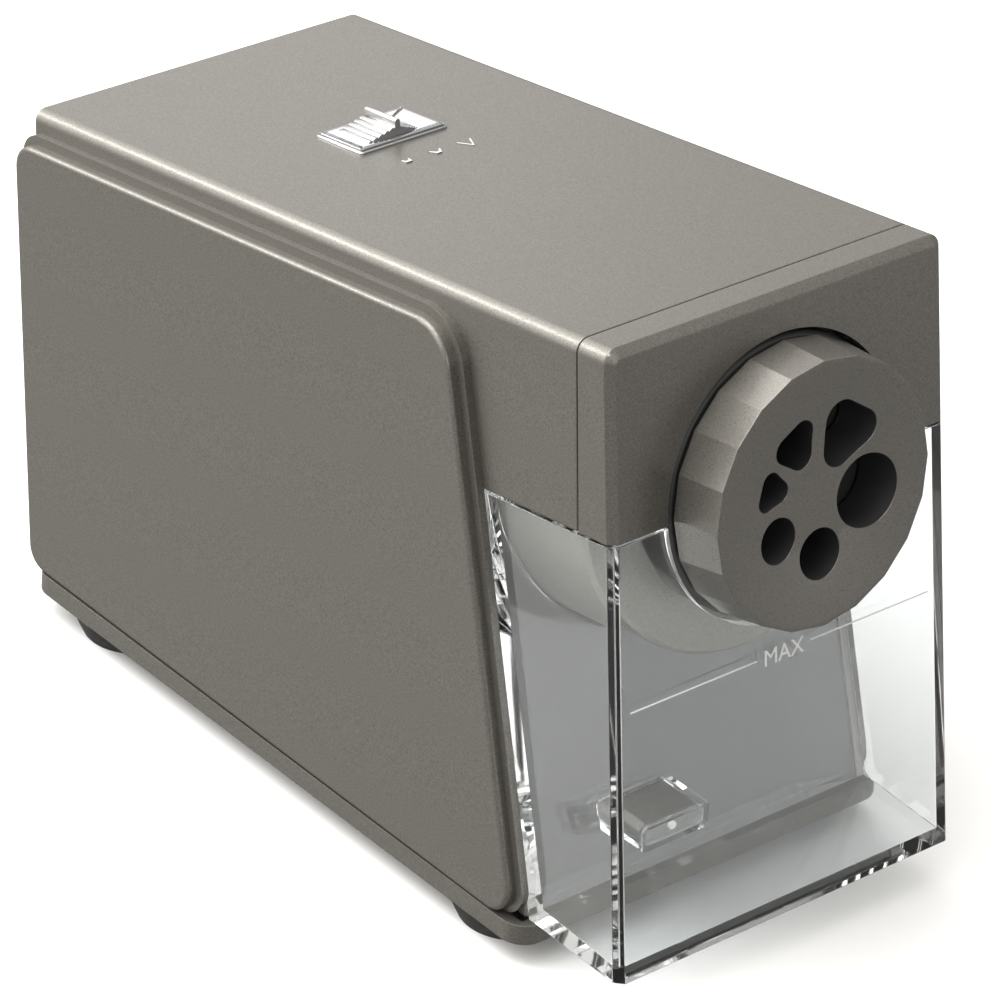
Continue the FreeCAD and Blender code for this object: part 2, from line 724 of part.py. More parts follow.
def make_pencil_guide():
    body = new_body("pencil_guide")
    rim = "(dial_radius+guide_proud)"
    turn(body, [("0", "guide_front"), (rim + "-0.8", "guide_front"),
                (rim, "guide_front+0.8"), (rim, "hood_front"),
                ("spigot_radius", "hood_front"), ("spigot_radius", "hood_front+hood_wall"),
                ("0", "hood_front+hood_wall")])
    pocket(body, "XZ", [("0", "0", "hub_radius+running_gap")], "-1", "hood_front+hood_wall+1")
    pocket(body, "XZ", [("0", "-hole_pitch", "guide_hole")], "-1", "hood_front+hood_wall+1")
    seat_low = "(dial_radius*0.5)"
    seat_high = "(%s+detent_half*1.5)" % seat_low
    pocket(body, "XZ", [rectangle("detent_half", seat_low, seat_high)], "-1", "guide_front+2")
    lean(body, z="-dial_drop")
    spring = new_body("dial_detent_spring")
    pad(spring, "XZ", [rectangle("(detent_half-piece_gap)", seat_low + "+piece_gap",
                                 seat_high + "-piece_gap")], "guide_front+1.4", "guide_front+2")
    lean(spring, z="-dial_drop")


def make_cutter_housing():
    body = new_body("cutter_housing")
    inner = "(%s-hood_wall)" % hood_radius
    turn(body, [("spigot_radius", "hood_front"), (hood_radius + "-0.8", "hood_front"),
                (hood_radius, "hood_front+0.8"), (hood_radius, "hood_back"),
                (inner, "hood_back"), (inner, "hood_front+hood_wall"),
                ("spigot_radius", "hood_front+hood_wall")])
    roof = "(dial_drop-wall-0.6)"
    pocket(body, "XZ", [rectangle("(%s+5)" % hood_radius, roof, roof + "+12")], "0", "hood_back+5")
    pocket(body, "XY", [rectangle("chute_half", "hood_front+5", "slant_start-12")],
           "-%s-5" % hood_radius, "-%s+10" % hood_radius)
    lean(body, z="-dial_drop")


# ---------------------------------------------------------------- gears
def tooth(root, tip, base, crest):
    """One tooth's outline on +X, from just inside the root to the tip."""
    return [(root, "-(%s)/2" % base), (tip, "-(%s)/2" % crest), (tip, "(%s)/2" % crest),
            (root, "(%s)/2" % base)]


def outside_teeth(body, teeth, low, high):
    pitch = "(module*(%s)/2)" % teeth
    pad(body, "XZ", [("0", "0", pitch + "-module*1.2")], low, high)
    feature = pad(body, "XZ", [tooth(pitch + "-module*1.35", pitch + "+module*0.9",
                                     "module*1.7", "module*0.8")], low, high)
    around(body, feature, teeth)


def make_ring_gear():
    body = new_body("ring_gear")
    tip = "(module*ring_teeth/2-module*0.6)"
    low = "(ring_mid-0.7)"
    high = "(ring_mid+2.9)"
    turn(body, [(ring_root, "hood_front+hood_wall"), (ring_outer, "hood_front+hood_wall"),
                (ring_outer, high), (ring_root, high)])
    base = ring_root + "+0.3"
    feature = pad(body, "XZ", [[(base, "-module*0.85"), (base, "module*0.85"),
                                (tip, "module*0.4"), (tip, "-module*0.4")]], low, high)
    around(body, feature, "ring_teeth")
    lean(body, z=pencil_z, spin=180.0 / number("ring_teeth"))


def on_cutter(y):
    return "((%s-cutter_middle)/cos(%s))" % (y, cutter_angle)


def cutter_seat():
    """Height of the cutter's axis above the pencil's, at the cutter's middle."""
    return "(%s-cone_slope*(cutter_middle-ring_mid))" % pinion_offset


def slope_degrees():
    return math.degrees(math.atan(number("cone_slope")))


def lean_cutter(body, spin=0.0):
    lean(body, y="cutter_middle", z=pencil_z + "+" + cutter_seat(),
         spin=spin, pitch=-slope_degrees())


def make_cutter():
    blades = 11
    low = number(on_cutter("carrier_front+disc_thick+1.2"))
    high = number(on_cutter("carrier_back-1.6"))
    crest = number(cutter_radius)
    gullet = crest - 0.9
    bore = number("spindle_radius")
    layers = 7
    wires = []
    for k in range(layers):
        share = k / (layers - 1)
        points = []
        for i in range(blades):
            for step, radius in ((0.0, crest), (0.22, crest - 0.15), (0.5, gullet), (0.85, gullet)):
                angle = math.radians(360.0 * (i + step) / blades + 75.0 * share)
                points.append(Vector(radius * math.cos(angle), low + (high - low) * share,
                                     radius * math.sin(angle)))
        wires.append(Part.makePolygon(points + points[:1]))
    solid = Part.makeLoft(wires, True, True)
    hole = Part.makeCylinder(bore, high - low + 2, Vector(0, low - 1, 0), Vector(0, 1, 0))
    cutter = doc.addObject("Part::Feature", "helical_cutter")
    cutter.Shape = solid.cut(hole)
    lean_cutter(cutter)

    pinion = new_body("cutter_pinion")
    middle = on_cutter("ring_mid")
    outside_teeth(pinion, "pinion_teeth", middle + "-1.5", middle + "+1.5")
    pocket(pinion, "XZ", [("0", "0", "spindle_radius")], middle + "-3", middle + "+3")
    lean_cutter(pinion, spin=-90.0)

    spindle = new_body("cutter_spindle")
    pad(spindle, "XZ", [("0", "0", "spindle_radius")], middle + "-1.9",
        on_cutter("carrier_back+disc_thick-0.4"))
    lean_cutter(spindle)


def make_carrier():
    front_disc = rod("carrier_front_disc", "carrier_radius", "0", "0",
                     ("carrier_front", "carrier_front+disc_thick"))
    back_disc = rod("carrier_back_disc", "carrier_radius*0.64", "0", "0",
                    ("carrier_back", "carrier_back+disc_thick"))
    shaft = rod("carrier_shaft_solid", "shaft_radius", "0", "0",
                ("carrier_back", "bracket_front+plate_thick+1"))
    struts = []
    for side, name in (("-", "left"), ("", "right")):
        middle = "%s(pencil_bore+0.9)" % side
        struts.append(box("carrier_strut_" + name, (middle + "-1.3", middle + "+1.3"),
                          ("carrier_front+0.5", "carrier_back+disc_thick-0.5"), ("-6.4", "-2.6")))
    solid = fuse("carrier_solid", [front_disc, back_disc, shaft] + struts)
    bore = rod("carrier_pencil_bore", "pencil_bore", "0", "0", ("carrier_front-1", "carrier_back-0.5"))
    stop_bore = rod("carrier_stop_bore", "stop_radius+0.25", "0", "0", ("carrier_back-2", "length"))
    pin_bore = slab("carrier_pin_bore", "XZ", [("0", "0", "spindle_radius+running_gap")],
                    on_cutter("carrier_front-4"), on_cutter("carrier_back+disc_thick+1"))
    pin_bore.Placement = Placement(Vector(), Rotation(Vector(1, 0, 0), -slope_degrees()))
    tie(pin_bore, "Placement.Base.y", "cutter_middle")
    tie(pin_bore, "Placement.Base.z", cutter_seat())
    carrier = cut("cutter_carrier", solid, [bore, stop_bore, pin_bore])
    lean(carrier, z=pencil_z)


drive_low = "(plate_front+plate_thick+1.2)"
drive_high = "(plate_front+plate_thick+5.6)"
large_low = "(plate_front+plate_thick+6.8)"
large_high = "(plate_front+plate_thick+10.2)"
idler_x = "(module*(drive_teeth+small_teeth)/2*cos(idler_angle))"
idler_z = "(-dial_drop-hole_pitch+module*(drive_teeth+small_teeth)/2*sin(idler_angle))"
motor_x = "(%s+module*(large_teeth+motor_teeth)/2*cos(motor_angle))" % idler_x
motor_z = "(%s+module*(large_teeth+motor_teeth)/2*sin(motor_angle))" % idler_z
motor_front = "(bracket_front+plate_thick)"


def make_gear_train():
    """Each gear is turned so that a tooth of one meets a gap of the next."""
    to_idler = number("idler_angle")
    to_motor = number("motor_angle")
    drive = new_body("drive_gear")
    outside_teeth(drive, "drive_teeth", drive_low, drive_high)
    pad(drive, "XZ", [("0", "0", "shaft_radius+3")], drive_low + "-0.8", drive_high + "+2")
    pocket(drive, "XZ", [("0", "0", "shaft_radius+0.01")], drive_low + "-3", drive_high + "+4")
    lean(drive, z=pencil_z, spin=-to_idler)

    idler = new_body("idler_gear")
    outside_teeth(idler, "small_teeth", drive_low + "-0.4", large_low)
    outside_teeth(idler, "large_teeth", large_low, large_high)
    pocket(idler, "XZ", [("0", "0", "spindle_radius+running_gap")], drive_low + "-3", large_high + "+3")
    small_pitch = 360.0 / number("small_teeth")
    large_pitch = 360.0 / number("large_teeth")
    spin = -(to_idler + 180.0 + small_pitch / 2)
    lean(idler, idler_x, "0", idler_z, spin=spin)

    pinion = new_body("motor_pinion")
    outside_teeth(pinion, "motor_teeth", large_low + "-0.6", large_high + "+0.6")
    pocket(pinion, "XZ", [("0", "0", "motor_shaft+0.01")], large_low + "-3", large_high + "+3")
    # how far the large wheel's nearest tooth stands off the line to the motor
    off = (to_motor + spin) % large_pitch
    ratio = number("large_teeth") / number("motor_teeth")
    motor_pitch = 360.0 / number("motor_teeth")
    lean(pinion, motor_x, "0", motor_z,
         spin=-(to_motor + 180.0 + motor_pitch / 2 + off * ratio))


def plate_outline(drop):
    low = floor_at("plate_front", "boss_height+1")
    return [("-plate_half", low), ("plate_half", low), ("plate_half", "-" + drop),
            ("-plate_half", "-" + drop)]


plate_posts = [(side + "(plate_half-4.5)", z) for z in ("-36", "-99") for side in ("-", "")]


def make_gearbox():
    plate = new_body("gear_plate")
    pad(plate, "XZ", [plate_outline("6")], "plate_front", "plate_front+plate_thick")
    pocket(plate, "XZ", [("0", pencil_z, "shaft_radius+2.5")], "plate_front-1", "plate_front+plate_thick+1")
    pocket(plate, "XZ", [(idler_x, idler_z, "spindle_radius+0.01")], "plate_front-1",
           "plate_front+plate_thick+1")
    round_edges(plate, lambda e: along(e, Vector(0, 1, 0)), "3")
    lean(plate)

    bracket = new_body("motor_bracket")
    pad(bracket, "XZ", [plate_outline("30")], "bracket_front", motor_front)
    for x, z, radius in (("0", pencil_z, "shaft_radius+2.5"), (idler_x, idler_z, "spindle_radius+0.01"),
                         (motor_x, motor_z, "4.5")):
        pocket(bracket, "XZ", [(x, z, radius)], "bracket_front-1", motor_front + "+1")
    lean(bracket)

    bush_spots = {"front_bush": "plate_front-0.6", "rear_bush": "bracket_front-0.6"}
    for name, low in bush_spots.items():
        bush = new_body(name)
        turn(bush, [("shaft_radius+running_gap", low), ("shaft_radius+2.45", low),
                    ("shaft_radius+2.45", low + "+plate_thick+0.6"),
                    ("shaft_radius+running_gap", low + "+plate_thick+0.6")])
        lean(bush, z=pencil_z)

    pin = new_body("idler_pin")
    pad(pin, "XZ", [("0", "0", "spindle_radius")], "plate_front", motor_front)
    lean(pin, idler_x, "0", idler_z)

    posts = []
    for i, (x, z) in enumerate(plate_posts):
        posts.append(rod("post_%d" % i, "3", x, z, ("plate_front+plate_thick", "bracket_front")))
    lean(fuse("gearbox_posts", posts))


def make_motor():
    at = {"x": motor_x, "z": motor_z}
    back = "(%s+motor_length)" % motor_front
    can = new_body("motor_can")
    turn(can, [("3.2", motor_front), ("motor_radius", motor_front), ("motor_radius", back),
               ("motor_radius-can_wall", back), ("motor_radius-can_wall", motor_front + "+can_wall"),
               ("3.2", motor_front + "+can_wall")])
    lean(can, **at)
    bell = new_body("motor_end_bell")
    turn(bell, [("2.4", back), ("motor_radius", back), ("motor_radius", back + "+bell_length-2"),
                ("motor_radius-2", back + "+bell_length"), ("5", back + "+bell_length"),
                ("5", back + "+bell_length+2"), ("2.4", back + "+bell_length+2")])
    lean(bell, **at)
    bearings = []
    spots = (("3.15", motor_front), ("2.35", back + "+bell_length-1.5"))
    for i, (outer, low) in enumerate(spots):
        ring = new_body("motor_bearing_%d" % i)
        turn(ring, [("motor_shaft+running_gap", low), (outer, low), (outer, low + "+3"),
                    ("motor_shaft+running_gap", low + "+3")])
        bearings.append(ring)
    lean(fuse("motor_bearings", bearings), **at)
    outer = "(motor_radius-can_wall-0.02)"
    inner = "(%s-magnet_thick)" % outer
    ring = new_body("magnet_ring")
    turn(ring, [(inner, motor_front + "+6"), (outer, motor_front + "+6"), (outer, back + "-8"),
                (inner, back + "-8")])
    gap = box("magnet_gap", ("-motor_radius", "motor_radius"), (motor_front, back), ("-5", "5"))
    lean(cut("motor_magnets", ring, [gap]), **at)

    shaft = new_body("motor_shaft")
    pad(shaft, "XZ", [("0", "0", "motor_shaft")], large_low + "-1", back + "+bell_length+1.4")
    lean(shaft, **at)
    core = new_body("armature")
    pad(core, "XZ", [("0", "0", "armature_radius")], motor_front + "+9", back + "-12")
    slot = pocket(core, "XZ", [[("armature_radius*0.55", "-1.6"), ("armature_radius+1", "-0.8"),
                                ("armature_radius+1", "0.8"), ("armature_radius*0.55", "1.6")]],
                  motor_front + "+8", back + "-11")
    around(core, slot, "5")
    pocket(core, "XZ", [("0", "0", "motor_shaft+0.01")], motor_front, back)
    lean(core, **at)
    commutator = new_body("commutator")
    turn(commutator, [("motor_shaft+0.01", back + "-10"), ("4.4", back + "-10"),
                      ("4.4", back + "-2"), ("motor_shaft+0.01", back + "-2")])
    lean(commutator, **at)


# ---------------------------------------------------------------- point adjuster
# the outlines of a blunt, a medium and a sharp pencil tip: half widths at top and tip, length
mark_shapes = [(0.95, 0.75, 1.3), (1.4, 0.56, 1.6), (1.75, 0.1, 3.1)]


def make_adjuster():
    start = "(-slider_travel/2)"
    middle = "slider_place"
    outer_half = "(slot_half+frame_lip)"
    outer_width = "(slot_width/2+frame_lip)"
    frame = new_body("slider_frame")
    pad(frame, "XY", [rectangle(outer_half, middle + "-" + outer_width, middle + "+" + outer_width)],
        "0", "frame_rise", taper="-30")
    pad(frame, "XY", [rectangle("(slot_half+frame_lip/2-0.05)", middle + "-slot_width/2-frame_lip/2+0.05",
                                middle + "+slot_width/2+frame_lip/2-0.05")], "-wall", "0.1")
    pocket(frame, "XY", [rectangle("slot_half", middle + "-slot_width/2", middle + "+slot_width/2")],
           "-wall-1", "frame_rise+1")
    lean(frame)

    knob = new_body("point_slider")
    reach = "(slot_width/2-0.4)"
    low = "(-wall-0.4)"
    left = start + "-knob_length/2"
    right = start + "+knob_length/2"
    crest_left = start + "+crest_side-crest_half"
    crest_right = start + "+crest_side+crest_half"
    side = [(left, low), (right, low), (right, "knob_end"), (crest_right, "knob_ridge"),
            (crest_right, "crest_rise"), (crest_left, "crest_rise"), (crest_left, "knob_ridge"),
            (left, "knob_end")]
    pad(knob, "XZ", [side], middle + "-" + reach, middle + "+" + reach)
    lean(knob)

    plate = new_body("slider_plate")
    plate_low = "(-wall-1.8)"
    front = "(yoke_place-5)"
    pad(plate, "XY", [[(start + "-14.5", front), (start + "+14.5", front),
                       (start + "+14.5", middle + "+8"), (start + "-14.5", middle + "+8")]],
        plate_low, low)
    slope = "(stop_travel/slider_travel)"
    room = "(stop_radius+0.3)"
    across = "(%s*sqrt(1+%s*%s))" % (room, slope, slope)
    far = "(-slider_travel-%s)" % room
    slot = [(room, "yoke_place-%s*%s-%s" % (slope, room, across)),
            (room, "yoke_place-%s*%s+%s" % (slope, room, across)),
            (far, "yoke_place-%s*%s+%s" % (slope, far, across)),
            (far, "yoke_place-%s*%s-%s" % (slope, far, across))]
    pocket(plate, "XY", [slot], plate_low + "-1", low + "+1")
    lean(plate)

    stop = rod("stop_rod", "stop_radius", "0", pencil_z, ("carrier_back-1", "yoke_place+2"))
    arm = box("stop_arm", ("-3", "3"), ("yoke_place-2", "yoke_place+2"),
              (pencil_z + "-3", plate_low + "-0.5"))
    pin = doc.addObject("Part::Cylinder", "stop_pin")
    tie(pin, "Radius", "stop_radius")
    tie(pin, "Height", "3")
    tie(pin, "Placement.Base.y", "yoke_place")
    tie(pin, "Placement.Base.z", low + "-0.1-3")
    lean(fuse("point_stop", [stop, arm, pin]))

    marks = []
    for i, (top, tip, long) in enumerate(mark_shapes):
        x = "(mark_side+mark_pitch*%d)" % (i - 1)
        outer = mark_outline(x, str(top), str(tip), str(long))
        inner = mark_outline(x, "(%g-mark_line)" % top, "max(%g-mark_line;0.04)" % tip,
                             "(%g-mark_line*1.6)" % long)
        marks.append(slab("mark_%d" % i, "XY", [outer + inner[::-1]], "0", "mark_rise"))
    lean(fuse("point_marks", marks))


def mark_outline(x, top, tip, long):
    end = "mark_place-" + long
    return [(x + "-" + top, "mark_place"), (x + "-" + tip, end), (x + "+" + tip, end),
            (x + "+" + top, "mark_place")]


# ---------------------------------------------------------------- switches, board and inlet
def upright(low_x, high_x, low_z, high_z):
    return [(low_x, low_z), (high_x, low_z), (high_x, high_z), (low_x, high_z)]


def make_start_switch():
    """A micro switch whose sprung lever is pushed by the point stop when a pencil goes in."""
    rail_inner = "(-shaft_radius-0.6)"
    rail_outer = "(%s-rail_thick)" % rail_inner
    low = "(%s-switch_high/2)" % pencil_z
    high = "(%s+switch_high/2)" % pencil_z
    front = "(yoke_place+7.4)"
    back = "(%s+switch_deep)" % front
    rail = slab("switch_rail", "XZ", [upright(rail_outer, rail_inner, low + "-1", high + "+3")],
                motor_front, back + "+1")
    lean(rail)
    switch = slab("start_switch", "XZ", [upright(rail_inner, "3", low, high)], front, back)
    lean(switch)
    hinge_y = "(%s-lever_pin-0.8)" % front
    hinge_z = "(%s+1.8)" % low
    lever = new_body("start_lever")
    pad(lever, "YZ", [upright("-0.3", "0.3", "-1", "lever_reach")], "-2.4", "2.4")
    pad(lever, "YZ", [("0", "0", "lever_pin")], "-2.4", "2.4")
    lean(lever, "0", hinge_y, hinge_z)
    pivot = slab("lever_pivot", "YZ", [upright("-0.9", "lever_pin+0.8", "-3", "-lever_pin-0.3")],
                 rail_inner, "3")
    lean(pivot, "0", hinge_y, hinge_z)


# along from the board's front edge, down from its top edge, radius and height
board_cans = [(10, 16, 6.2, 12), (28, 14, 5.0, 9), (42, 20, 3.2, 7)]
board_blocks = [(6, 30), (20, 28), (36, 30)]


def make_board():
    back = "(board_front+board_length)"
    low = "(-board_drop-board_high)"
    face = "(-board_side+board_thick)"
    outline = [("board_front", low), (back, low), (back, "-board_drop"), ("board_front", "-board_drop")]
    lean(slab("circuit_board", "YZ", [outline], "-board_side", face))
    parts = []
    for i, (along_board, down, radius, height) in enumerate(board_cans):
        place = ("board_front+%g" % along_board, "-board_drop-%g" % down, "%g" % radius)
        parts.append(slab("board_can_%d" % i, "YZ", [place], face, face + "+%g" % height))
    for i, (along_board, down) in enumerate(board_blocks):
        y = "board_front+%g" % along_board
        z = "-board_drop-%g" % down
        parts.append(box("board_block_%d" % i, (face, face + "+6.4"), (y, y + "+9"), (z + "-8", z)))
    lean(fuse("board_parts", parts))
    rails = []
    for i, z in enumerate(("-board_drop", low + "-rail_reach")):
        wall_side = "(piece_gap/2+wall-width/2+draft*(%s))" % z
        rails.append(box("board_rail_%d" % i, (wall_side, face + "+1"), ("board_front-1", back + "+1"),
                         (z, z + "+rail_reach")))
    lean(fuse("board_rails", rails))


def make_inlet():
    back = "(length+rear_rake*(inlet_drop-inlet_high))"
    body = new_body("mains_inlet")
    outline = [("-inlet_half+0.1", "-inlet_high+0.1"), ("inlet_half-0.1", "-inlet_high+0.1"),
               ("inlet_half-0.1", "inlet_high-0.1"), ("-inlet_half+0.1", "inlet_high-0.1")]
    pad(body, "XZ", [outline], back + "-inlet_deep", back)
    for side in ("-", ""):
        pocket(body, "XZ", [(side + "pin_spread", "0", "4.4")], back + "-inlet_deep+3", back + "+1")
    lean(body, "-inlet_side", "0", "-inlet_drop")
    pins = [rod("inlet_pin_%d" % i, "1.2", side + "pin_spread", "0",
                (back + "-inlet_deep+3", back + "-2")) for i, side in enumerate(("-", ""))]
    lean(fuse("inlet_pins", pins), "-inlet_side", "0", "-inlet_drop")


make_top_cover()
make_front_bezel()
make_side_panels()
make_base()
make_feet()
make_base_screws()
make_bulkhead()
make_bin()
make_interlock()
make_dial()
make_dial_fasteners()
make_pencil_guide()
make_cutter_housing()
make_ring_gear()
make_cutter()
make_carrier()
make_gear_train()
make_gearbox()
make_motor()
make_adjuster()
make_start_switch()
make_board()
make_inlet()
doc.recompute()

# the origin is the centre of the footprint
low = min(piece.Shape.BoundBox.YMin for piece in nodes.values())
high = max(piece.Shape.BoundBox.YMax for piece in nodes.values())
sheet.set("B%d" % len(driving_sizes), "%.4f" % (-(low + high) / 2))
doc.recompute()

faults = []
for thing in doc.Objects:
    if "Invalid" in thing.State or "Error" in thing.State:
        faults.append("%s: %s" % (thing.Name, thing.State))
for name, piece in nodes.items():
    if piece.Shape.isNull() or not piece.Shape.isValid() or not piece.Shape.Solids:
        faults.append("%s: bad shape" % name)
if faults:
    raise SystemExit("not written: " + "; ".join(faults))

os.makedirs("parts", exist_ok=True)
for name, piece in nodes.items():
    piece.Shape.exportStep("parts/%s.step" % name)
print(len(nodes), "nodes written, moved back by", sheet.get("back_shift"))
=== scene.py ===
import json
import math

import bmesh
import bpy
from mathutils import Matrix, Vector


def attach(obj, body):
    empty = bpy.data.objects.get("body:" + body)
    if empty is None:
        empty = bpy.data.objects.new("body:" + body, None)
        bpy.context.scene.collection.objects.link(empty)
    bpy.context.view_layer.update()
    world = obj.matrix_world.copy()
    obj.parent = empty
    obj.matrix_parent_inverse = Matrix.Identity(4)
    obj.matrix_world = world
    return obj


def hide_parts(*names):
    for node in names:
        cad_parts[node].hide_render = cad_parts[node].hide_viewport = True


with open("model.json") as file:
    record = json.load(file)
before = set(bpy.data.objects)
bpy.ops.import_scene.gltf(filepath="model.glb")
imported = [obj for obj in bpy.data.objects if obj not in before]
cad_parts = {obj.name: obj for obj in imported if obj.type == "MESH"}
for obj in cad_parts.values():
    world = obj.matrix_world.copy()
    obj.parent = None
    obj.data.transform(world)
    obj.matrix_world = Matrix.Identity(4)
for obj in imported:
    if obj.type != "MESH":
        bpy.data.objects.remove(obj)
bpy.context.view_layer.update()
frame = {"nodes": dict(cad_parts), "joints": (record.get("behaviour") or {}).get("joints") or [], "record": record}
nodes = frame["nodes"]
joints = {joint["name"]: joint for joint in frame["joints"]}
mm = 0.001
topFace = 35.0  # millimetres from the dial's middle up to the housing's top face
sliderMiddle = 109.0  # millimetres from the front face back to the slider's middle
print("frame loaded:", len(nodes), "nodes")

# The housing leans back, so its own directions are taken from the dial's axle:
# x right, y back and z up, from the dial's middle on the front face.
frontWay = Vector(joints["dial_turn"]["axis"])
dialCentre = Vector(joints["dial_turn"]["pos_m"])
upWay = Vector((1, 0, 0)).cross(-frontWay)
leaning = Matrix.Translation(dialCentre) @ Matrix(((1, 0, 0), -frontWay, upWay)).transposed().to_4x4()

cameraPlace = {
    "target": (-0.03799, -0.04516, 0.08662),
    "distance": 1.0,
    "azimuth": -43.325,
    "elevation": 31.170,
    "roll": 5.484,
    "lens": 203.65,
    "sensor": 36,
    "nearest": 0.05,
}


def placeCamera(s):
    turn = math.radians(s["azimuth"])
    rise = math.radians(s["elevation"])
    roll = math.radians(s["roll"])
    back = Vector((math.sin(turn) * math.cos(rise), -math.cos(turn) * math.cos(rise), math.sin(rise)))
    side = Vector((0, 0, 1)).cross(back).normalized()
    over = back.cross(side)
    right = side * math.cos(roll) + over * math.sin(roll)
    up = over * math.cos(roll) - side * math.sin(roll)
    data = bpy.data.cameras.new("camera")
    data.lens = s["lens"]
    data.sensor_width = s["sensor"]
    data.clip_start = s["nearest"]
    camera = bpy.data.objects.new("camera", data)
    camera.matrix_world = Matrix((right, up, back)).transposed().to_4x4()
    camera.location = Vector(s["target"]) + back * s["distance"]
    bpy.context.scene.collection.objects.link(camera)
    bpy.context.scene.camera = camera


lightSettings = {
    "overhead": {"place": (-0.45, 0.3, 1.3), "aim": (0, 0, 0.06),
                 "size": (0.7, 0.7), "power": 7.0},
    "frontLeft": {"place": (-0.45, -1.16, 0.51), "aim": (0, -0.05, 0.07),
                  "size": (0.16, 0.16), "power": 1.6},
    "rearLeft": {"place": (-0.5, 0.98, 0.68), "aim": (0, 0, 0.1),
                 "size": (0.25, 0.25), "power": 3.2},
    "rearRight": {"place": (0.75, 1.25, 0.45), "aim": (0, 0.04, 0.1),
                  "size": (0.5, 0.2), "power": 0.5},
    "frontRight": {"place": (0.78, -1.0, 0.13), "aim": (0, -0.05, 0.07),
                   "size": (0.5, 0.24), "power": 0.9},
}


def placeLights(settings):
    for name, s in settings.items():
        data = bpy.data.lights.new(name, "AREA")
        data.shape = "RECTANGLE"
        data.size, data.size_y = s["size"]
        data.energy = s["power"]
        light = bpy.data.objects.new(name, data)
        light.location = s["place"]
        light.rotation_euler = (Vector(s["aim"]) - Vector(s["place"])).to_track_quat("-Z", "Y").to_euler()
        bpy.context.scene.collection.objects.link(light)


studio = {
    "brightWay": (-0.45, 0.45, 0.77),
    "levels": ((0.03, 0.43), (0.42, 0.42), (0.53, 0.62), (0.58, 0.9),
               (0.66, 0.66), (0.74, 0.95), (0.96, 4.2)),
    "warmth": (1.0, 0.985, 0.95),
    "bounces": 24,
    "clearBounces": 20,
}


# A big soft surround, dim in front and bright over the rear left.
def makeStudio(s):
    world = bpy.data.worlds.new("studio")
    world.use_nodes = True
    tree = world.node_tree
    way = tree.nodes.new("ShaderNodeTexCoord")
    along = tree.nodes.new("ShaderNodeVectorMath")
    along.operation = "DOT_PRODUCT"
    along.inputs[1].default_value = Vector(s["brightWay"]).normalized()
    share = tree.nodes.new("ShaderNodeMapRange")
    share.inputs["From Min"].default_value = -1  # a dot product of two directions runs from -1 to 1
    ramp = tree.nodes.new("ShaderNodeValToRGB")
    points = ramp.color_ramp.elements
    brightest = s["levels"][-1][1]
    while len(points) < len(s["levels"]):
        points.new(0.5)  # the loop below puts each point in its place
    for point, (at, level) in zip(points, s["levels"]):
        point.position = at
        point.color = [level / brightest * tint for tint in s["warmth"]] + [1]
    tree.links.new(way.outputs["Generated"], along.inputs[0])
    tree.links.new(along.outputs["Value"], share.inputs["Value"])
    tree.links.new(share.outputs["Result"], ramp.inputs["Fac"])
    background = tree.nodes["Background"]
    tree.links.new(ramp.outputs["Color"], background.inputs["Color"])
    background.inputs["Strength"].default_value = brightest
    bpy.context.scene.world = world
    bpy.context.scene.view_settings.view_transform = "Standard"
    cycles = bpy.context.scene.cycles  # enough bounces to see through the bin's four walls
    cycles.max_bounces = s["bounces"]
    cycles.transmission_bounces = s["clearBounces"]
    cycles.glossy_bounces = s["clearBounces"]


floorSheet = {"half": 4, "white": (0.72, 0.72, 0.72, 1), "rough": 0.75, "speckle": 900,
              "roughLow": 0.7, "roughHigh": 0.8}


def makeFloor(s):
    mesh = bpy.data.meshes.new("floor")
    bm = bmesh.new()
    bmesh.ops.create_grid(bm, x_segments=1, y_segments=1, size=s["half"])
    bm.to_mesh(mesh)
    bm.free()
    floor = bpy.data.objects.new("floor", mesh)
    bpy.context.scene.collection.objects.link(floor)
    f = Finish("floorWhite", base=s["white"], rough=s["rough"])
    f.shade("Roughness", f.noise(s["speckle"], 3), s["roughLow"], s["roughHigh"])
    floor.data.materials.append(f.material)
    floor.visible_glossy = False  # the paint mirrors the surround, not the white sheet
    floor.visible_diffuse = False


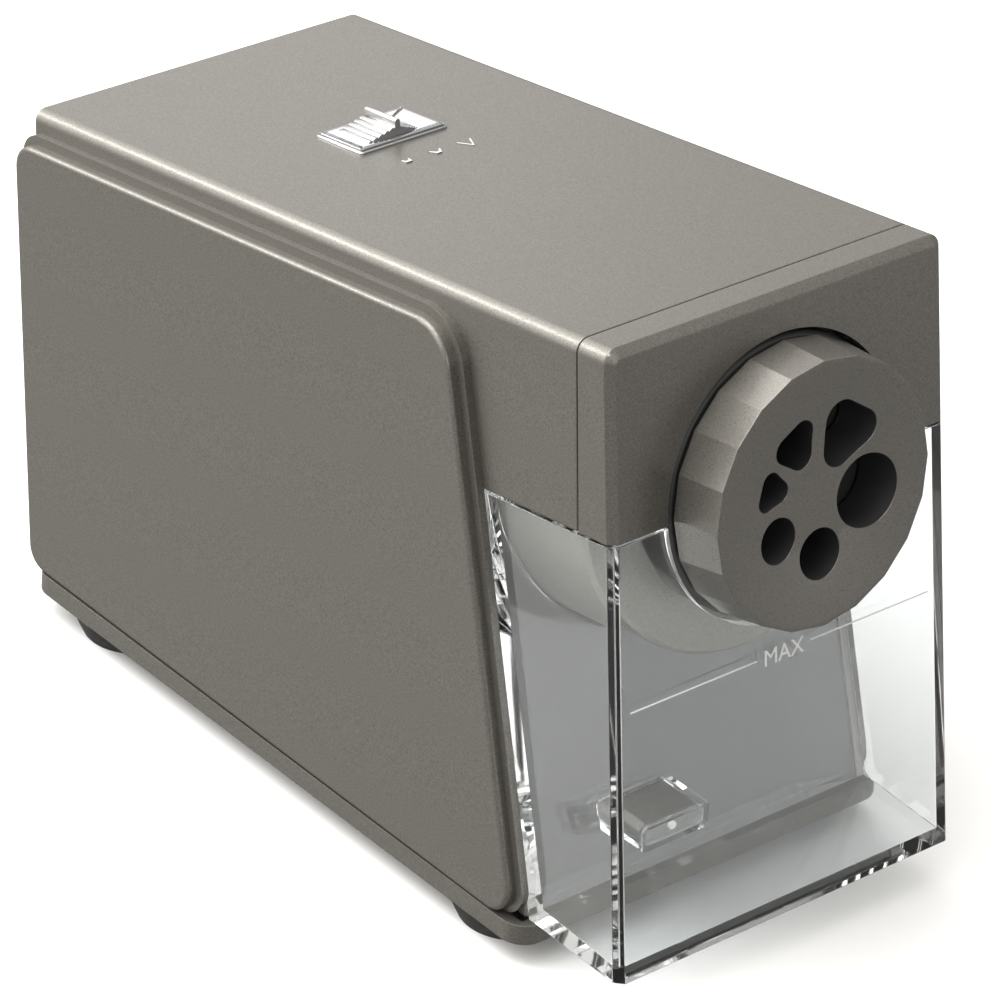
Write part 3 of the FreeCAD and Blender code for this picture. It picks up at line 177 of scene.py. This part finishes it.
# A Principled material and the few textures that the finishes share.
class Finish:
    noiseLow = 0.3  # most of a noise lies between these two
    noiseHigh = 0.7

    def __init__(self, name, base=(0.8, 0.8, 0.8, 1), rough=0.5, metal=0.0, **sockets):
        self.material = bpy.data.materials.new(name)
        self.material.use_nodes = True
        self.tree = self.material.node_tree
        self.shader = self.tree.nodes["Principled BSDF"]
        values = {"Base Color": base, "Roughness": rough, "Metallic": metal}
        values.update(sockets)
        for socket, value in values.items():
            self.shader.inputs[socket].default_value = value
        self.place = self.node("ShaderNodeTexCoord")

    def node(self, kind, links=None):
        made = self.tree.nodes.new(kind)
        for socket, source in (links or {}).items():
            if hasattr(source, "links"):
                self.tree.links.new(source, made.inputs[socket])
            else:
                made.inputs[socket].default_value = source
        return made

    def stretched(self, scale):
        links = {"Vector": self.place.outputs["Object"], "Scale": scale}
        return self.node("ShaderNodeMapping", links).outputs["Vector"]

    def noise(self, scale, detail, vector=None, rough=0.5):
        links = {"Vector": vector or self.place.outputs["Object"], "Scale": scale, "Detail": detail,
                 "Roughness": rough}
        return self.node("ShaderNodeTexNoise", links).outputs["Fac"]

    def cells(self, scale):
        links = {"Vector": self.place.outputs["Object"], "Scale": scale}
        return self.node("ShaderNodeTexVoronoi", links).outputs["Distance"]

    def shade(self, socket, value, low, high):
        links = {"Value": value, "From Min": self.noiseLow, "From Max": self.noiseHigh,
                 "To Min": low, "To Max": high}
        self.tree.links.new(self.node("ShaderNodeMapRange", links).outputs["Result"],
                            self.shader.inputs[socket])

    def colour(self, value, dark, light, start=noiseLow, stop=noiseHigh):
        ramp = self.node("ShaderNodeValToRGB", {"Fac": value})
        for point, at, shade in zip(ramp.color_ramp.elements, (start, stop), (dark, light)):
            point.position = at
            point.color = shade
        self.tree.links.new(ramp.outputs["Color"], self.shader.inputs["Base Color"])

    def bump(self, height, depth, strength, under=None):
        links = {"Height": height, "Distance": depth, "Strength": strength}
        if under:
            links["Normal"] = under
        normal = self.node("ShaderNodeBump", links).outputs["Normal"]
        self.tree.links.new(normal, self.shader.inputs["Normal"])
        return normal


pewterLook = {"metal": 0.72, "coat": 0.12, "coatRough": 0.3, "flake": 3000, "flakeRough": 0.7,
              "patch": 3600, "roughSpread": 0.07, "peel": 520, "peelDepth": 0.00002,
              "sparkle": 4600, "sparkleRough": 0.8, "sparkleDepth": 0.00003, "strength": 0.35}
pewterTones = {
    "housingPaint": {"dark": (0.115, 0.109, 0.099, 1), "light": (0.2, 0.19, 0.173, 1), "rough": 0.36},
    "dialPaint": {"dark": (0.14, 0.133, 0.122, 1), "light": (0.215, 0.205, 0.188, 1), "rough": 0.34},
    "innerPaint": {"dark": (0.15, 0.145, 0.133, 1), "light": (0.24, 0.23, 0.21, 1), "rough": 0.5},
}


# Metallic lacquer: a fine flake that sparkles, over a slight orange peel.
def pewterPaint(name, tone, s):
    rough = tone["rough"]
    f = Finish(name, rough=rough, metal=s["metal"],
               **{"Coat Weight": s["coat"], "Coat Roughness": s["coatRough"]})
    f.colour(f.noise(s["flake"], 2, rough=s["flakeRough"]), tone["dark"], tone["light"])
    f.shade("Roughness", f.noise(s["patch"], 1), rough - s["roughSpread"], rough + s["roughSpread"])
    peel = f.bump(f.noise(s["peel"], 2), s["peelDepth"], s["strength"])
    sparkle = f.noise(s["sparkle"], 2, rough=s["sparkleRough"])
    f.bump(sparkle, s["sparkleDepth"], s["strength"], under=peel)
    return f.material


clearLook = {"tint": (0.93, 0.95, 0.955, 1), "rough": 0.02, "bend": 1.49, "ripple": 60,
             "rippleDepth": 0.0001, "strength": 0.06}


def clearPlastic(name, s):
    f = Finish(name, base=s["tint"], rough=s["rough"], **{"Transmission Weight": 1.0, "IOR": s["bend"]})
    f.bump(f.noise(s["ripple"], 2), s["rippleDepth"], s["strength"])
    return f.material


chromeLook = {"base": (0.52, 0.52, 0.53, 1), "rough": 0.09, "smear": 700, "roughLow": 0.06,
              "roughHigh": 0.14, "grain": 900, "grainStretch": (1, 6, 1), "grainDepth": 0.00001,
              "strength": 0.12}


def chrome(name, s):
    f = Finish(name, base=s["base"], rough=s["rough"], metal=1.0)
    f.shade("Roughness", f.noise(s["smear"], 3), s["roughLow"], s["roughHigh"])
    f.bump(f.noise(s["grain"], 2, vector=f.stretched(s["grainStretch"])), s["grainDepth"], s["strength"])
    return f.material


rubberLook = {"base": (0.012, 0.012, 0.013, 1), "dark": (0.007, 0.007, 0.008, 1),
              "light": (0.022, 0.022, 0.023, 1), "start": 0.35, "stop": 0.75, "rough": 0.62,
              "bloom": 240, "patch": 420, "roughLow": 0.5, "roughHigh": 0.74, "grain": 1800,
              "grainDepth": 0.00004, "strength": 0.4}


def rubber(name, s):
    f = Finish(name, base=s["base"], rough=s["rough"])
    f.colour(f.noise(s["bloom"], 4), s["dark"], s["light"], s["start"], s["stop"])
    f.shade("Roughness", f.noise(s["patch"], 3), s["roughLow"], s["roughHigh"])
    f.bump(f.noise(s["grain"], 2), s["grainDepth"], s["strength"])
    return f.material


mouldingLook = {"rough": 0.45, "flow": 60, "patch": 40, "roughLow": 0.42, "roughHigh": 0.5,
                "ripple": 120, "rippleDepth": 0.00002, "strength": 0.1}
mouldingTones = {
    "blackMoulding": {"dark": (0.012, 0.012, 0.013, 1), "light": (0.03, 0.03, 0.031, 1)},
    "greyMoulding": {"dark": (0.026, 0.026, 0.025, 1), "light": (0.034, 0.034, 0.033, 1)},
    "nylonGear": {"dark": (0.68, 0.66, 0.6, 1), "light": (0.8, 0.78, 0.72, 1)},
}


def moulding(name, tone, s):
    f = Finish(name, rough=s["rough"])
    f.colour(f.noise(s["flow"], 3), tone["dark"], tone["light"])
    f.shade("Roughness", f.noise(s["patch"], 2), s["roughLow"], s["roughHigh"])
    f.bump(f.noise(s["ripple"], 2), s["rippleDepth"], s["strength"])
    return f.material


metalLook = {"stain": 180, "streak": 90, "streakStretch": (1, 14, 1), "smoother": 0.08, "rougher": 0.1,
             "grain": 1200, "grainStretch": (1, 9, 1), "grainDepth": 0.00002, "strength": 0.3}
metalTones = {
    "groundSteel": {"dark": (0.42, 0.42, 0.43, 1), "light": (0.62, 0.62, 0.63, 1),
                    "rough": 0.28, "metal": 0.95},
    "zincSteel": {"dark": (0.5, 0.5, 0.49, 1), "light": (0.66, 0.66, 0.64, 1),
                  "rough": 0.36, "metal": 0.95},
    "turnedBrass": {"dark": (0.62, 0.43, 0.16, 1), "light": (0.78, 0.58, 0.26, 1),
                    "rough": 0.25, "metal": 0.95},
    "copperWire": {"dark": (0.42, 0.15, 0.06, 1), "light": (0.66, 0.28, 0.12, 1),
                   "rough": 0.3, "metal": 0.95},
    "darkMagnet": {"dark": (0.035, 0.035, 0.038, 1), "light": (0.07, 0.07, 0.073, 1),
                   "rough": 0.55, "metal": 0.2},
}


def workedMetal(name, tone, s):
    rough = tone["rough"]
    f = Finish(name, rough=rough, metal=tone["metal"])
    f.colour(f.noise(s["stain"], 4), tone["dark"], tone["light"])
    streaks = f.noise(s["streak"], 4, vector=f.stretched(s["streakStretch"]))
    f.shade("Roughness", streaks, rough - s["smoother"], rough + s["rougher"])
    f.bump(f.noise(s["grain"], 2, vector=f.stretched(s["grainStretch"])), s["grainDepth"], s["strength"])
    return f.material


boardLook = {"rough": 0.4, "coat": 0.3, "coatRough": 0.2, "weave": 160, "dark": (0.012, 0.09, 0.035, 1),
             "light": (0.02, 0.14, 0.055, 1), "start": 0.2, "stop": 0.5, "grain": 500,
             "grainDepth": 0.00004, "strength": 0.3}


def board(name, s):
    f = Finish(name, rough=s["rough"], **{"Coat Weight": s["coat"], "Coat Roughness": s["coatRough"]})
    f.colour(f.cells(s["weave"]), s["dark"], s["light"], s["start"], s["stop"])
    f.bump(f.noise(s["grain"], 2), s["grainDepth"], s["strength"])
    return f.material


inkLook = {"base": (0.86, 0.86, 0.85, 1), "rough": 0.5, "patch": 1500, "roughLow": 0.42, "roughHigh": 0.58}


def ink(name, s):
    f = Finish(name, base=s["base"], rough=s["rough"])
    f.shade("Roughness", f.noise(s["patch"], 2), s["roughLow"], s["roughHigh"])
    return f.material


def makeFinishes():
    made = {name: pewterPaint(name, tone, pewterLook) for name, tone in pewterTones.items()}
    made["clearBin"] = clearPlastic("clearBin", clearLook)
    made["chromePlate"] = chrome("chromePlate", chromeLook)
    made["matRubber"] = rubber("matRubber", rubberLook)
    for name, tone in mouldingTones.items():
        made[name] = moulding(name, tone, mouldingLook)
    for name, tone in metalTones.items():
        made[name] = workedMetal(name, tone, metalLook)
    made["greenBoard"] = board("greenBoard", boardLook)
    made["whiteInk"] = ink("whiteInk", inkLook)
    return made


finishOf = {
    "housingPaint": ["top_cover", "front_bezel", "left_side_panel", "right_side_panel", "base_tray"],
    "dialPaint": ["selector_dial"],
    "innerPaint": ["cutter_housing", "interlock_post"],
    "clearBin": ["shavings_bin"],
    "chromePlate": ["slider_frame", "point_slider", "point_marks"],
    "matRubber": ["front_left_foot", "front_right_foot", "rear_left_foot", "rear_right_foot"],
    "blackMoulding": ["mains_inlet", "start_switch", "bin_switch", "motor_end_bell",
                      "board_rails", "slider_plate", "board_parts"],
    "greyMoulding": ["front_bulkhead", "switch_rail", "pencil_guide"],
    "nylonGear": ["drive_gear", "idler_gear", "ring_gear", "interlock_plunger"],
    "turnedBrass": ["front_bush", "rear_bush", "motor_bearings", "inlet_pins"],
    "copperWire": ["commutator", "armature"],
    "darkMagnet": ["motor_magnets"],
    "zincSteel": ["motor_can", "gear_plate", "motor_bracket", "gearbox_posts", "dial_detent_spring"],
    "groundSteel": ["cutter_carrier", "helical_cutter", "cutter_pinion", "cutter_spindle", "point_stop",
                    "start_lever", "lever_pivot", "idler_pin", "motor_shaft", "motor_pinion",
                    "dial_washer", "dial_screw", "base_screws"],
    "greenBoard": ["circuit_board"],
}


def paintNodes():
    painted = set()
    for finish, names in finishOf.items():
        for name in names:
            mesh = nodes[name].data
            mesh.materials.clear()
            mesh.materials.append(finishes[finish])
            painted.add(name)
    print("painted", len(painted), "nodes; left over:", sorted(set(nodes) - painted))


placeCamera(cameraPlace)
placeLights(lightSettings)
makeStudio(studio)
makeFloor(floorSheet)
print("camera, lights and floor placed")
finishes = makeFinishes()
paintNodes()


def bodyOf(node):
    return next(body for body, names in frame["record"]["behaviour"]["bodies"].items() if node in names)


def softenEdges(bm, edges, width, segments):
    bmesh.ops.bevel(bm, geom=edges, offset=width, offset_type="OFFSET", segments=segments,
                    profile=0.5, affect="EDGES", clamp_overlap=True, material=-1)


def splitWideFaces(bm):
    bmesh.ops.triangulate(bm, faces=[face for face in bm.faces if len(face.verts) > 4])


def sharpEdges(bm, angle):
    return [edge for edge in bm.edges
            if len(edge.link_faces) == 2 and edge.calc_face_angle(0) > math.radians(angle)]


def makeObject(name, bm, material, crease):
    mesh = bpy.data.meshes.new(name)
    bm.to_mesh(mesh)
    bm.free()
    for polygon in mesh.polygons:
        polygon.use_smooth = True
    mesh.set_sharp_from_angle(angle=math.radians(crease))
    mesh.materials.append(material)
    piece = bpy.data.objects.new(name, mesh)
    bpy.context.scene.collection.objects.link(piece)
    return piece


rounding = {"weld": 2e-6, "flat": 0.6, "segments": 2, "angle": 28.0, "crease": 32.0}
edgeSettings = {
    "top_cover": {"width": 0.35},
    "front_bezel": {"width": 0.4},
    "left_side_panel": {"width": 0.3},
    "right_side_panel": {"width": 0.3},
    "base_tray": {"width": 0.5},
    # the dial's bores get painted shade from the black moulding
    "selector_dial": {"width": 0.3, "angle": 15, "crease": 12, "bores": {"within": 20.5, "behind": -9.0}},
    "shavings_bin": {"width": 0.5},
    "cutter_housing": {"width": 0.3},
    "front_bulkhead": {"width": 0.3},
    "pencil_guide": {"width": 0.3},
    "mains_inlet": {"width": 0.3},
}


# Painted shade: the dial's bore walls, deeper than its front, take the black moulding's finish so the holes read
# as dark as shaded recesses.
def paintBoreShade(piece, bores):
    piece.data.materials.append(finishes["blackMoulding"])
    for polygon in piece.data.polygons:
        spot = (leaning.inverted() @ polygon.center) / mm
        if math.hypot(spot.x, spot.z) < bores["within"] and spot.y > bores["behind"]:
            polygon.material_index = 1


# A piece that stands for its node, with its edges rounded as a mould leaves them.
def roundEdges(node, width, angle=rounding["angle"], crease=rounding["crease"], bores=None):
    bm = bmesh.new()
    bm.from_mesh(nodes[node].data)
    bmesh.ops.remove_doubles(bm, verts=bm.verts, dist=rounding["weld"])
    bmesh.ops.dissolve_limit(bm, angle_limit=math.radians(rounding["flat"]), verts=bm.verts, edges=bm.edges)
    softenEdges(bm, sharpEdges(bm, angle), width * mm, rounding["segments"])
    splitWideFaces(bm)
    piece = makeObject(node + "_finished", bm, nodes[node].data.materials[0], crease)
    # painted shade inside the dial's bores
    if bores:
        paintBoreShade(piece, bores)
    flatten = piece.modifiers.new("even flats", "WEIGHTED_NORMAL")
    flatten.keep_sharp = True
    flatten.weight = 100
    piece.visible_shadow = node != "shavings_bin"  # clear walls let the lights through
    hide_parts(node)
    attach(piece, bodyOf(node))


for node, settings in edgeSettings.items():
    roundEdges(node, **settings)
print("edges rounded")


# Turns a bmesh, in millimetres about the dial's middle, into a finished piece.
def keepPiece(name, bm, material, node=None, body=None):
    bmesh.ops.remove_doubles(bm, verts=bm.verts, dist=1e-4)
    bmesh.ops.recalc_face_normals(bm, faces=bm.faces)
    bmesh.ops.transform(bm, matrix=leaning @ Matrix.Scale(mm, 4), verts=bm.verts)
    piece = makeObject(name, bm, finishes[material], rounding["crease"])
    if node:
        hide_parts(node)
    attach(piece, body or bodyOf(node))


# Extrudes a face and gives back the face at the far end.
def sweepFace(bm, face, way):
    swept = bmesh.ops.extrude_face_region(bm, geom=[face])
    moved = [item for item in swept["geom"] if isinstance(item, bmesh.types.BMVert)]
    bmesh.ops.translate(bm, verts=moved, vec=way)
    return next(item for item in swept["geom"] if isinstance(item, bmesh.types.BMFace))


thumb = {
    "left": -8.5, "right": 6.3, "end": 0.35, "ridge": 2.2, "under": -2.7, "half": 4.55,
    "crestLeft": -0.45, "crestRight": 0.75, "crestTop": 3.95, "crestSteps": 8,
    "ribs": 6, "ribHigh": 0.32, "knurls": 9, "knurlHigh": 0.13, "ribShare": 0.92, "ribSteps": 6,
    "edge": 0.14, "edgeSegments": 2,
}


# Points of a rounded rib on a slope, from left to right.
def ribPoints(centre, width, height, slope, steps):
    points = []
    for k in range(steps + 1):
        turn = math.pi * (1 - k / steps)
        along = width / 2 * math.cos(turn)
        out = height * math.sin(turn)
        points.append((centre[0] + along * math.cos(slope) - out * math.sin(slope),
                       centre[1] + along * math.sin(slope) + out * math.cos(slope)))
    return points


# A row of ribs along the slope from one end (x, z) to the other.
def ribbedSlope(first, last, count, high, s):
    run = last[0] - first[0]
    slope = math.atan2(last[1] - first[1], run)
    width = run / count / math.cos(slope) * s["ribShare"]
    points = []
    for k in range(count):
        share = (k + 0.5) / count
        centre = (first[0] + run * share, first[1] + (last[1] - first[1]) * share)
        points += ribPoints(centre, width, high, slope, s["ribSteps"])
    return points


def makeThumb(s):
    crestMiddle = (s["crestLeft"] + s["crestRight"]) / 2
    crestHalf = (s["crestRight"] - s["crestLeft"]) / 2
    outline = [(s["left"], s["under"])]
    outline += ribbedSlope((s["left"], s["end"]), (s["crestLeft"], s["ridge"]), s["ribs"], s["ribHigh"], s)
    outline += ribPoints((crestMiddle, s["crestTop"] - crestHalf), crestHalf * 2, crestHalf, 0,
                         s["crestSteps"])
    outline += ribbedSlope((s["crestRight"], s["ridge"]), (s["right"], s["end"]), s["knurls"],
                           s["knurlHigh"], s)
    outline.append((s["right"], s["under"]))
    bm = bmesh.new()
    side = bm.faces.new([bm.verts.new((x, sliderMiddle - s["half"], topFace + z)) for x, z in outline])
    sweepFace(bm, side, (0, s["half"] * 2, 0))
    rims = [edge for edge in bm.edges if abs(edge.verts[0].co.y - edge.verts[1].co.y) < 1e-5]
    softenEdges(bm, rims, s["edge"], s["edgeSegments"])
    splitWideFaces(bm)
    keepPiece("sliderThumb", bm, "chromePlate", node="point_slider")


surround = {
    "halfLong": 10.65, "halfWide": 6.85, "corner": 0.9, "cornerSegments": 4, "lowRise": 0.42,
    "step": 0.62, "rise": 0.88, "slotWide": 5.0, "deep": -2.3, "sharp": 40, "soft": 0.17,
    "softSegments": 3,
}


# The slot's bottom and the underside are left open.
def isOpenEnd(face, deep):
    height = face.calc_center_median().z
    return height < deep + 0.01 or (abs(height) < 1e-4 and len(face.verts) > 4)


# A plated surround with a low outer bead and a higher inner one.
def makeSliderFrame(s):
    bm = bmesh.new()
    bmesh.ops.create_grid(bm, x_segments=1, y_segments=1, size=1)
    bmesh.ops.scale(bm, vec=(s["halfLong"], s["halfWide"], 1), verts=bm.verts)
    bmesh.ops.bevel(bm, geom=list(bm.verts), offset=s["corner"], offset_type="OFFSET",
                    segments=s["cornerSegments"], profile=0.5, affect="VERTICES", clamp_overlap=True,
                    material=-1)
    face = max(bm.faces, key=lambda f: f.calc_area())
    face = sweepFace(bm, face, (0, 0, s["lowRise"]))
    bmesh.ops.inset_region(bm, faces=[face], thickness=s["step"], use_even_offset=True)
    face = sweepFace(bm, face, (0, 0, s["rise"] - s["lowRise"]))
    innerBead = s["halfWide"] - s["step"] - s["slotWide"]
    bmesh.ops.inset_region(bm, faces=[face], thickness=innerBead, use_even_offset=True)
    sweepFace(bm, face, (0, 0, s["deep"] - s["rise"]))
    openEnds = [face for face in bm.faces if isOpenEnd(face, s["deep"])]
    bmesh.ops.delete(bm, geom=openEnds, context="FACES")
    bmesh.ops.recalc_face_normals(bm, faces=bm.faces)
    softenEdges(bm, sharpEdges(bm, s["sharp"]), s["soft"], s["softSegments"])
    bmesh.ops.translate(bm, verts=bm.verts, vec=(0, sliderMiddle, topFace))
    keepPiece("sliderSurround", bm, "chromePlate", node="slider_frame")


fillMark = {
    "down": -33.7, "rake": 0.0166, "left": (-37.3, -7.0), "right": (6.0, 35.6), "line": 0.3,
    "thick": 0.04, "proud": 0.02, "word": "MAX", "wordHigh": 3.4, "wordMiddle": -0.5, "fontScale": 1.35,
}


# The fill word as a mesh, upright and facing the front.
def makeWord(s):
    curve = bpy.data.curves.new("fillWord", "FONT")
    curve.body = s["word"]
    curve.size = s["wordHigh"] * s["fontScale"]
    curve.align_x = "CENTER"
    curve.extrude = s["thick"] / 2
    holder = bpy.data.objects.new("fillWord", curve)
    bpy.context.scene.collection.objects.link(holder)
    word = bpy.data.meshes.new_from_object(holder)
    bpy.data.objects.remove(holder)
    written = bmesh.new()
    written.from_mesh(word)
    upright = Matrix.Rotation(math.pi / 2, 3, "X")
    bmesh.ops.rotate(written, cent=(0, 0, 0), matrix=upright, verts=written.verts)
    bmesh.ops.translate(written, vec=(s["wordMiddle"], 0, -s["wordHigh"] / 2), verts=written.verts)
    written.to_mesh(word)
    written.free()
    return word


# The fill line with its word, printed on the bin's front.
def makeFillMark(s):
    tilt = Matrix.Rotation(-math.atan(s["rake"]), 4, "X")
    front = s["rake"] * (s["down"] - topFace) - s["proud"]
    bm = bmesh.new()
    for low, high in (s["left"], s["right"]):
        made = bmesh.ops.create_cube(bm, size=1)["verts"]
        bmesh.ops.scale(bm, vec=(high - low, s["thick"], s["line"]), verts=made)
        bmesh.ops.translate(bm, vec=((low + high) / 2, 0, 0), verts=made)
    bm.from_mesh(makeWord(s))
    bmesh.ops.transform(bm, matrix=Matrix.Translation((0, front, s["down"])) @ tilt, verts=bm.verts)
    keepPiece("binFillMark", bm, "whiteInk", body="bin")


makeThumb(thumb)
makeSliderFrame(surround)
makeFillMark(fillMark)
print("slider, surround and fill mark made")
